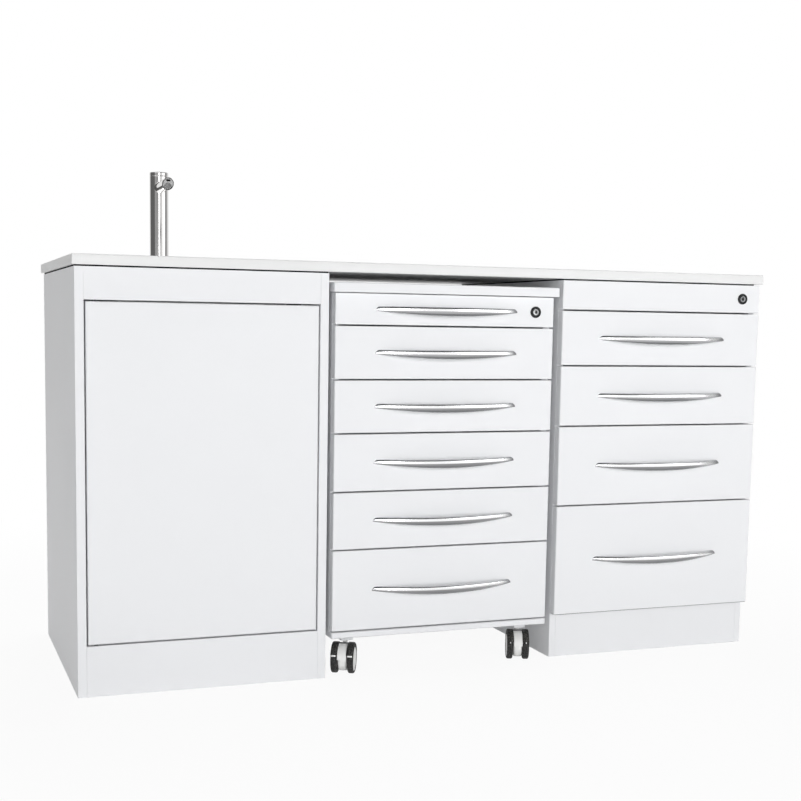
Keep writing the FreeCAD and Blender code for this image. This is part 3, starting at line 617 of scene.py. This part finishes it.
def waste():
    """Strainer, tail, bottle trap with its nuts, and the outlet."""
    form = Form()
    rim = [(20.0, 671.4), (21.0, 671.9), (24.0, 672.0), (33.5, 671.0), (35.0, 670.2), (35.0, 670.0),
           (22.0, 670.0), (22.0, 664.0), (20.0, 664.0)]
    form.lathe(rim, (*DRAIN, 0.0), close=True)
    form.bars(2, DRAIN, [(-20.6, -1.3), (20.6, -1.3), (20.6, 1.3), (-20.6, 1.3)], 668.2, 669.8,
              45.0, 180.0)
    form.piece("sink_strainer", "cabinet_run", "lock", "stainless_steel", ["sink_waste"])
    form = Form()
    low = BOWL_FLOOR - 85.0
    tail = [(22.0, 663.8), (22.0, 640.0), (28.0, 640.0), (29.0, 638.5), (29.0, 624.0),
            (28.0, 622.5), (22.0, 622.5), (22.0, low + 9.0), (30.0, low + 9.0), (31.5, low + 7.5),
            (31.5, low - 6.0)]
    trap = [(37.2, low - 7.0), (38.0, low - 9.0), (38.0, low - 48.0), (36.8, low - 50.0),
            (36.8, low - 80.0), (38.0, low - 82.0), (38.0, low - 104.0), (35.0, low - 118.0),
            (22.0, low - 128.0), (8.0, low - 130.0), (0.0, low - 130.0)]
    form.lathe([(0.0, 663.8)] + tail + trap, (*DRAIN, 0.0))
    form.bars(24, DRAIN, [(28.6, -1.0), (30.0, -0.6), (30.0, 0.6), (28.6, 1.0)], 625.0, 637.0)
    outlet_z = 549.0
    outlet = [(0.0, 32.0), (26.0, 32.0), (27.5, 34.0), (27.5, 52.0), (26.0, 54.0), (20.0, 54.0),
              (20.0, 293.0), (19.2, 295.0), (17.0, 295.0), (17.0, 120.0), (0.0, 120.0)]
    form.lathe(outlet, (*DRAIN, outlet_z), (0, 1, 0), (1, 0, 0), 40)
    form.piece("sink_trap", "cabinet_run", "pipe", "white_plastic")


def tap():
    """Round column, short spout with a slanted end, aerator and sensor window."""
    x, y = TAP
    form = Form()
    shank, foot, out, top = 16.0, SLAB_TOP, TAP_RADIUS, SLAB_TOP + TAP_HEIGHT
    aerator_fall, window_rise = 4.5, 8.5
    groove = out - 0.3
    column = [(0.0, 799.0), (shank - 0.4, 799.0), (shank, 800.0), (shank, 826.0), (shank, foot),
              (out - 0.4, foot), (out, foot + 0.6), (out, foot + 3.0), (groove, foot + 3.4),
              (groove, foot + 3.8), (out, foot + 4.2), (out, foot + 5.0), (out, top - 10.0),
              (out, top - 9.2), (groove, top - 8.8), (groove, top - 8.4), (out, top - 8.0),
              (out, top - 7.4), (out, top - 2.2), (out, top - 1.6), (out - 0.4, top - 0.6),
              (out - 1.6, top), (6.0, top), (0.0, top)]
    form.lathe(column, (x, y, 0.0), steps=64)
    slope = math.radians(30.0)
    radius = SPOUT_RADIUS
    normal = Vector((0.0, -math.cos(slope), -math.sin(slope)))
    down = Vector((0.0, math.sin(slope), -math.cos(slope)))
    middle = Vector((x, SPOUT_END + radius * math.tan(slope), SPOUT_LEVEL))

    def end_ring(size, lift, steps=48):
        """A ring round the slanted end. At size 1 it is the rim of the round spout."""
        points = []
        for k in range(steps):
            a = 2 * math.pi * k / steps
            across = Vector((math.cos(a) * radius * size, 0.0, 0.0))
            points.append(middle + across + down * (math.sin(a) * radius * size / math.cos(slope))
                          + normal * lift)
        return points

    start = [Vector((p.x, y - 6.0, p.z)) for p in end_ring(1.0, 0.0)]
    lips = ((1.0, -2.4), (1.0, -1.0), (0.985, -0.3), (0.93, 0.0), (0.87, 0.0), (0.85, -0.6),
            (0.82, -0.6))
    form.grid([start] + [end_ring(size, lift) for size, lift in lips])
    form.piece("tap_body", "cabinet_run", "tap", "tap_steel", ["tap"], angle=40.0)
    form = Form()
    form.grid([end_ring(0.83, -0.55), end_ring(0.80, -0.45), end_ring(0.02, -0.45)])
    form.piece("tap_spout_face", "cabinet_run", "insert", "tap_steel", closed=False)
    form = Form()
    centre = middle + down * aerator_fall
    across = Vector((1.0, 0.0, 0.0))
    form.lathe([(6.2, -0.6), (8.0, -0.6), (8.0, 1.0), (7.6, 1.4), (6.8, 1.4), (6.4, 1.0)],
               centre, normal, across, 40, close=True)
    sieve, pitch = 6.3, 1.4
    for k in range(-4, 5):
        half = math.sqrt(sieve ** 2 - (k * pitch) ** 2)
        for along, other in ((across, down), (down, across)):
            base = centre + other * (k * pitch) + normal * 0.1
            rows = []
            for lift in (0.0, 0.4):
                rows.append([base + along * s * half + other * t * 0.28 + normal * lift
                             for s, t in ((-1, -1), (1, -1), (1, 1), (-1, 1))])
            form.capped(rows)
    form.lathe([(0.0, -0.5), (sieve, -0.5), (sieve, 0.1), (0.0, 0.1)], centre, normal, across, 40)
    form.piece("tap_aerator", "cabinet_run", "mesh", "tap_steel", angle=40.0)
    form = Form()
    centre = middle - down * window_rise
    rows = []
    for size, lift in ((1.0, -0.5), (1.0, 0.25), (0.9, 0.5), (0.6, 0.6)):
        rows.append([centre + across * 4.5 * size * sx + down * 2.2 * size * sz + normal * lift
                     for sx, sz in ((-1, -0.6), (-0.8, -1), (0.8, -1), (1, -0.6), (1, 0.6),
                                    (0.8, 1), (-0.8, 1), (-1, 0.6))])
    form.capped(rows)
    form.piece("tap_sensor_window", "cabinet_run", "seal", "grey_plastic")


# Locks and casters

def lock(name, x, z, back, cam, ring_body, ring_node, face, key):
    """A cam lock: dark ring and barrel, plug face with a keyway, and the cam at its back.

    face is the plug's finish, and key is the keyway's share of its full size.
    """

    def turned(profile, steps, close):
        form = Form()
        form.lathe(profile, (x, 0.0, z), (0, 1, 0), (1, 0, 0), steps, close)
        return form

    ring = [(8.7, -1.6), (9.0, -2.5), (9.9, -3.0), (10.9, -3.0), (11.7, -2.6), (12.0, -1.8),
            (12.0, 0.0), (8.7, 0.0)]
    turned(ring, 56, True).piece(name + "_ring", ring_body, "ring", "lock_chrome", [ring_node])
    barrel = [(7.05, -1.5), (7.25, -1.9), (8.4, -2.1), (8.65, -1.7), (8.65, -0.1), (8.4, -0.1),
              (8.4, back + 2.0), (7.05, back + 2.0)]
    turned(barrel, 56, True).piece(name + "_barrel", ring_body, "ring", "lock_chrome")
    end = back + 3.0
    plug = [(0.0, -2.7), (5.0, -2.7), (5.4, -2.9), (6.3, -2.9), (6.9, -2.3), (7.0, -1.8),
            (7.0, end + 3.0), (0.0, end + 3.0)]
    form = turned(plug, 48, False)
    outline = []
    for k in range(9):
        a = math.radians(90 + 180.0 * k / 8)
        outline.append((x - cam + 5.0 + 5.0 * math.cos(a), z + 5.0 * math.sin(a)))
    outline += [(x, z - 6.0), (x + 6.0, z - 3.5), (x + 6.0, z + 3.5), (x, z + 6.0)]
    form.prism(outline, lambda u, v, level: (u, level, v), end, end + 3.0)
    form.piece(name + "_plug_face", name + "_plug", face, "lock_chrome", [name + "_plug"])
    form = Form()
    slot = [(0.0, 4.8), (1.6, 3.6), (2.5, 1.8), (3.6, 0.0), (2.5, -1.8), (1.6, -3.6), (0.0, -4.8),
            (-1.6, -3.6), (-2.5, -1.8), (-3.6, 0.0), (-2.5, 1.8), (-1.6, 3.6)]
    form.prism([(x + u * key, z + v * key) for u, v in slot],
               lambda u, v, level: (u, level, v), -2.95, -2.5)
    form.piece(name + "_keyway", name + "_plug", "seal", "lock_chrome")


def caster(corner, x, y, turn):
    """Twin wheels with tyres and hub caps, a light core, and dark hoods with pale strips at their
    ends that paint a glint.
    """
    name = "caster_" + corner
    fork, wheels = name + "_fork", name + "_wheels"
    place = Matrix.Translation((x, y, 0.0)) @ Matrix.Rotation(math.radians(turn), 4, "Z")
    axle = Vector((0.0, -CASTER_TRAIL, WHEEL_RADIUS))
    along, up = (1, 0, 0), (0, 0, 1)
    tread, rim, hood_start, hood_end, glint_step = WHEEL_RADIUS, 25.6, 16.0, 156.0, 1.6
    tyres = Form()
    hubs = Form()
    for side in (-1, 1):
        inner, outer = 11.0 * side, 24.0 * side
        low, high = min(inner, outer), max(inner, outer)
        profile = [(rim, low + 0.6), (26.4, low), (27.4, low), (28.8, low + 0.7), (29.7, low + 2.2),
                   (tread, low + 4.0), (tread, low + 5.9), (29.5, low + 6.2), (29.5, low + 6.8),
                   (tread, low + 7.1), (tread, high - 4.0), (29.7, high - 2.2),
                   (28.8, high - 0.7), (27.4, high), (26.4, high), (rim, high - 0.6)]
        tyres.lathe(profile, axle, along, up, 72, close=True)
        back, face = inner + side, outer - side
        cap = [(rim, back), (rim, face - 0.6 * side), (24.4, face + 0.2 * side),
               (19.4, face + 0.2 * side), (18.6, face - 1.2 * side), (16.6, face - 1.4 * side),
               (15.6, face - 0.4 * side), (7.0, face + 0.1 * side), (6.2, face + 0.6 * side),
               (4.6, face + 0.9 * side), (0.0, face + 0.9 * side), (0.0, back)]
        hubs.lathe(cap, axle, along, up, 64)
    hubs.lathe([(3.0, -12.0), (3.0, 12.0)], axle, along, up, 24)
    tyres.piece(name + "_tyres", wheels, "tyre", "grey_rubber", [wheels], matrix=place)
    hubs.piece(name + "_hubs", wheels, "hub", "grey_rubber", matrix=place)

    def swept(section, a):
        """A section of (u, r) corners, turned to an angle round the axle."""
        a = math.radians(a)
        return [(u, axle.y + r * math.cos(a), axle.z + r * math.sin(a)) for u, r in section]

    core = Form()
    core.lathe([(0.0, -9.6), (20.0, -9.6), (22.6, -8.8), (24.2, -7.0), (24.6, -4.5), (24.6, 4.5),
                (24.2, 7.0), (22.6, 8.8), (20.0, 9.6), (0.0, 9.6)], axle, along, up, 72)
    arch = [(0.0, axle.y - 23.0, axle.z + 3.0), (0.0, axle.y + 23.0, axle.z + 3.0)]
    arch += [swept([(0.0, 33.4)], 8.0 + 8.2 * k)[0] for k in range(21)]
    core.prism([point[1:] for point in arch], lambda u, v, level: (level, u, v), -9.2, 9.2)
    core.lathe([(0.0, 60.0), (5.0, 60.0), (5.0, 84.0), (4.4, 84.5), (0.0, 84.5)], (0, 0, 0))
    core.piece(name + "_core", fork, "core", "grey_plastic", [fork], matrix=place, bevel=0.5,
               angle=40.0)
    hood = Form()
    for side in (-1, 1):
        inner, outer = 9.8 * side, 23.6 * side
        section = [(inner, 32.0), (inner, 34.3), (inner + 0.9 * side, 35.2),
                   (outer - 2.6 * side, 35.2), (outer - 0.8 * side, 34.4), (outer, 33.3),
                   (outer, 32.0)]
        hood.capped([swept(section, hood_start + (hood_end - hood_start) * k / 24)
                     for k in range(25)])
    hood.piece(name + "_hoods", fork, "hood", "grey_plastic", matrix=place, bevel=0.4, angle=50.0)
    # Pale strips at the hoods' front ends paint the glint on their rounded ends: a wide one on the
    # front left hoods and a narrow one on the others.
    near, far = (12.6, 21.8) if corner == "front_left" else (16.2, 18.0)
    lips = Form()
    for side in (-1, 1):
        section = [(near * side, 31.0), (near * side, 34.8), ((near + 0.6) * side, 35.1),
                   ((far - 0.6) * side, 35.1), (far * side, 34.8), (far * side, 31.0)]
        lips.capped([swept(section, hood_end + glint_step * k) for k in range(4)])
    lips.piece(name + "_hood_painted_glints", fork, "hub", "grey_plastic", matrix=place, angle=50.0)
    bridge = Form()
    bridge.capped([ring_of(-13.0, 13.0, -26.0, -20.0, 1.5, z, 5) for z in (63.4, 65.0)])
    bridge.piece(name + "_bridge", fork, "pin", "grey_plastic", matrix=place, bevel=0.4,
                 angle=50.0)


# Solids of the part that keep their own shape

def dress(names, finish, bevel=0.0):
    """Gives solids of the part a finish, joins their corners and softens their edges."""
    for name in names:
        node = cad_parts[name]
        node.data.materials.clear()
        node.data.materials.append(FINISHES[finish].material)
        weld = node.modifiers.new("weld", "WELD")
        weld.merge_threshold = 0.000002
        if bevel:
            flat = node.modifiers.new("flat", "DECIMATE")
            flat.decimate_type = "DISSOLVE"
            flat.angle_limit = math.radians(0.5)
            soften(node, bevel, 2, 20.0)


# Studio, in metres of the exported part's frame

# name, place, aimed at, width, height, watts, mirrored in metal
LAMPS = [
    ("key", (-2.15, -5.1, 1.1), (0.0, 0.0, 0.30), 2.6, 2.2, 86.0, True),
    ("fill", (1.9, -5.2, 0.95), (0.1, 0.0, 0.25), 2.6, 2.0, 126.0, False),
    ("left", (-3.75, -3.15, 1.3), (-0.2, 0.0, 0.40), 2.6, 2.2, 16.0, True),
    ("back", (0.6, 4.6, 1.6), (0.0, 0.0, 0.45), 2.6, 2.6, 62.0, False),
    ("right", (4.6, 0.6, 1.6), (0.0, 0.0, 0.45), 2.6, 2.6, 48.0, False),
    ("top", (0.0, 1.1, 3.6), (0.0, 0.2, 0.8), 2.6, 2.0, 60.0, False),
]

# name, place, turned to, width, height, tone
CARDS = [
    ("card_left", (-2.4, 0.9, 0.9), (0.0, 0.9, 0.9), 3.3, 2.6, 0.17),
    ("card_front", (-1.93, -1.59, 1.13), (-0.51, 0.225, 1.1), 2.2, 0.5, 0.45),
    ("card_above", (0.6, -1.0, 3.0), (0.6, -1.0, 0.0), 6.0, 5.6, 0.02),
    ("card_stand", (-0.15, -2.35, 1.09), (-0.51, 0.2, 1.09), 0.7, 0.07, 0.12),
    ("card_window", (1.42, -1.51, 1.2), (-0.51, 0.225, 1.2), 1.5, 1.7, 2.0),
    ("card_right", (2.67, -0.05, 1.1), (-0.51, 0.225, 1.1), 2.3, 2.2, 0.45),
    ("card_floor", (0.0, -0.62, 0.004), (0.0, -0.62, 1.0), 2.6, 0.6, 0.60),
]


def seen_share(nodes):
    """One for camera, glossy and transmission rays, and nothing for the light itself."""
    seen, mirrored, through = (nodes.add("LightPath", {}, {}, "Is %s Ray" % kind)
                               for kind in ("Camera", "Glossy", "Transmission"))
    return nodes.maths("MINIMUM", seen + mirrored + through, 1.0)


def studio():
    """White surroundings, a white floor, the lamps and the cards."""
    world = bpy.data.worlds.new("studio")
    bpy.context.scene.world = world
    world.use_nodes = True
    nodes = Nodes(world.node_tree)
    soft = nodes.add("Background", {}, {"Color": (0.97, 0.98, 1.0), "Strength": 0.11})
    white = nodes.add("Background", {}, {"Color": (1.0, 1.0, 1.0)})
    both = nodes.add("MixShader", {}, {0: seen_share(nodes), 1: soft, 2: white})
    nodes.fill(nodes.tree.nodes["World Output"].inputs["Surface"], both)

    floor = sheet_of("floor", 12.0, 12.0)
    floor.location = (0.0, 0.0, -0.0004)
    f = Finish("floor_white", Roughness=0.8, Specular_IOR_Level=0.1)
    f.colour((0.86, 0.86, 0.86), (0.88, 0.88, 0.88), f.noise(3.0))
    away = f.add("VectorMath", {"operation": "LENGTH"}, {0: f.place}, "Value")
    share = seen_share(f) * away.between(0.9, 2.2, 0.93, 1.0)
    lit = Value(f, f.shader.outputs[0])
    both = f.add("MixShader", {}, {0: share, 1: lit, 2: f.add("Emission", {}, {})})
    f.fill(f.tree.nodes["Material Output"].inputs["Surface"], both)
    floor.data.materials.append(f.material)

    for name, place, target, width, height, power, mirrored in LAMPS:
        data = bpy.data.lights.new(name, "AREA")
        data.shape = "RECTANGLE"
        data.size = width
        data.size_y = height
        data.energy = power
        lamp = bpy.data.objects.new(name, data)
        bpy.context.scene.collection.objects.link(lamp)
        aim(lamp, place, target)
        lamp.visible_glossy = mirrored
    for name, place, target, width, height, tone in CARDS:
        card(name, place, target, width, height, tone)


def sheet_of(name, width, height):
    """A flat sheet that faces along its own Z axis."""
    mesh = bpy.data.meshes.new(name)
    x, y = width / 2, height / 2
    mesh.from_pydata([(-x, -y, 0), (x, -y, 0), (x, y, 0), (-x, y, 0)], [], [(0, 1, 2, 3)])
    plane = bpy.data.objects.new(name, mesh)
    bpy.context.scene.collection.objects.link(plane)
    return plane


def aim(thing, place, target):
    """Puts a lamp or a card in its place and turns it to its target."""
    thing.location = place
    thing.rotation_euler = (Vector(target) - Vector(place)).to_track_quat("-Z", "Y").to_euler()


def card(name, place, target, width, height, tone):
    """A card that only reflections see, as photographers hang beside bright metal."""
    plane = sheet_of(name, width, height)
    aim(plane, place, target)
    for kind in ("camera", "diffuse", "transmission", "volume_scatter", "shadow"):
        setattr(plane, "visible_" + kind, False)
    f = Finish(name, Roughness=1.0, Specular_IOR_Level=0.0, Base_Color=(0.0, 0.0, 0.0),
               Emission_Strength=1.0)
    glow = f.mixed((tone * 0.6,) * 3, (tone * 1.4,) * 3, f.noise(3.0, 3.0))
    f.fill(f.shader.inputs["Emission Color"], glow)
    plane.data.materials.append(f.material)


def camera():
    """The photograph's viewpoint. Focal length and centre are in pixels of its 801."""
    place = Vector((-302.6, -2504.4, 728.2))
    yaw, pitch, roll = (math.radians(a) for a in (20.3514, -6.0966, 0.8891))
    focal, centre_x, centre_y, width, sensor = 1303.6, 385.9, 463.1, 801.0, 36.0
    ahead = Vector((math.sin(yaw) * math.cos(pitch), math.cos(yaw) * math.cos(pitch),
                    math.sin(pitch)))
    level = Vector((math.cos(yaw), -math.sin(yaw), 0.0))
    above = level.cross(ahead)
    right = level * math.cos(roll) + above * math.sin(roll)
    above = above * math.cos(roll) - level * math.sin(roll)
    data = bpy.data.cameras.new("camera")
    data.sensor_width = sensor
    data.lens = sensor * focal / width
    data.shift_x = (width / 2 - centre_x) / width
    data.shift_y = (centre_y - width / 2) / width
    data.clip_start = 0.05
    data.clip_end = 60.0
    view = bpy.data.objects.new("camera", data)
    bpy.context.scene.collection.objects.link(view)
    turn = Matrix((right, above, -ahead)).transposed().to_4x4()
    view.matrix_world = Matrix.Translation((place - ORIGIN) / 1000.0) @ turn
    bpy.context.scene.camera = view


camera()
studio()
drawers("cabinet", CABINET_SIDES, CABINET_FRONTS)
drawers("mobile", MOBILE_SIDES, MOBILE_FRONTS)
slab()
bowl()
waste()
tap()
lock("cabinet_lock", *CABINET_LOCK, "cabinet_run", "cabinet_lock", "dark_chrome", 1.0)
lock("mobile_lock", *MOBILE_LOCK, "mobile_drawer_1", "mobile_lock", "lock", 0.8)
for corner_name, (caster_x, caster_y, caster_turn) in CASTERS.items():
    caster(corner_name, caster_x, caster_y, caster_turn)

dress(["sink_cabinet", "sink_cabinet_plinth", "sink_door", "drawer_cabinet",
       "drawer_cabinet_fascia", "mobile_cabinet", "mobile_base", "mobile_top"], "enamel", 0.5)
dress(["supply_pipe", "cabinet_fixed_rails", "mobile_fixed_rails"], "zinc")
dress(["door_pivot_pins"], "pin")
dress(["%s_drawer_%d_middle_rails" % (prefix, number)
       for prefix, count in (("cabinet", 4), ("mobile", 6)) for number in range(1, count + 1)],
      "zinc")
dress(["push_latch", "push_latch_plunger"], "hood", 0.4)

bpy.context.scene.view_settings.view_transform = "Standard"
